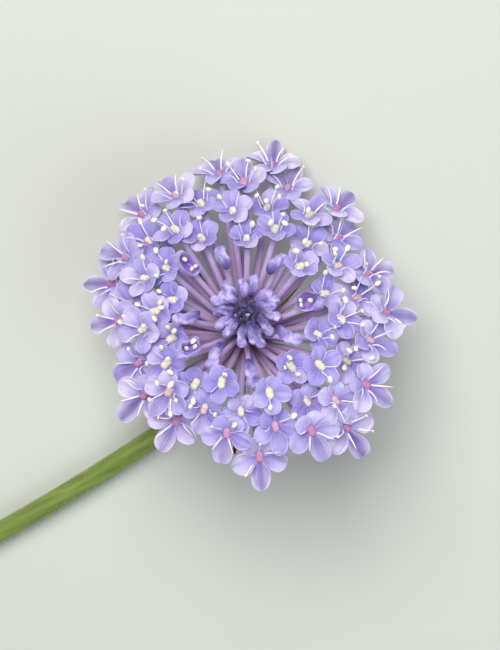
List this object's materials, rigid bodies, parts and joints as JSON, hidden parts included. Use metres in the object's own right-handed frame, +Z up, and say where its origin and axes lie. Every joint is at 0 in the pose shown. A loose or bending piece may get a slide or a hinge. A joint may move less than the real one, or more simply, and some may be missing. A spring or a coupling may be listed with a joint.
{
  "type": "blue lace flower",
  "caption": "Cut blue lace flower lying on its side: a domed umbel of small lilac florets round a knot of violet buds, on one green stem.",
  "frame": {"origin": "on the surface the flower lies on, under the middle of its bounding box", "axes": "+Z up from the surface; the head is towards -X and faces up and towards -Y; the stem runs along the surface towards +X and +Y to its cut end"},
  "size_m": [0.1084, 0.0901, 0.0362],
  "materials": {
    "stem": "matt green plant stem with fine pale hairs",
    "bracts": "matt green leaf, red at the tip",
    "petals": "soft, slightly see-through lilac petal with faint veins and a paler rim",
    "buds": "soft violet bud with dark folds"
  },
  "bodies": {
    "root": {"stem": "stem", "bracts": "bracts", "open_florets": "petals", "buds": "buds"}
  },
  "joints": []
}
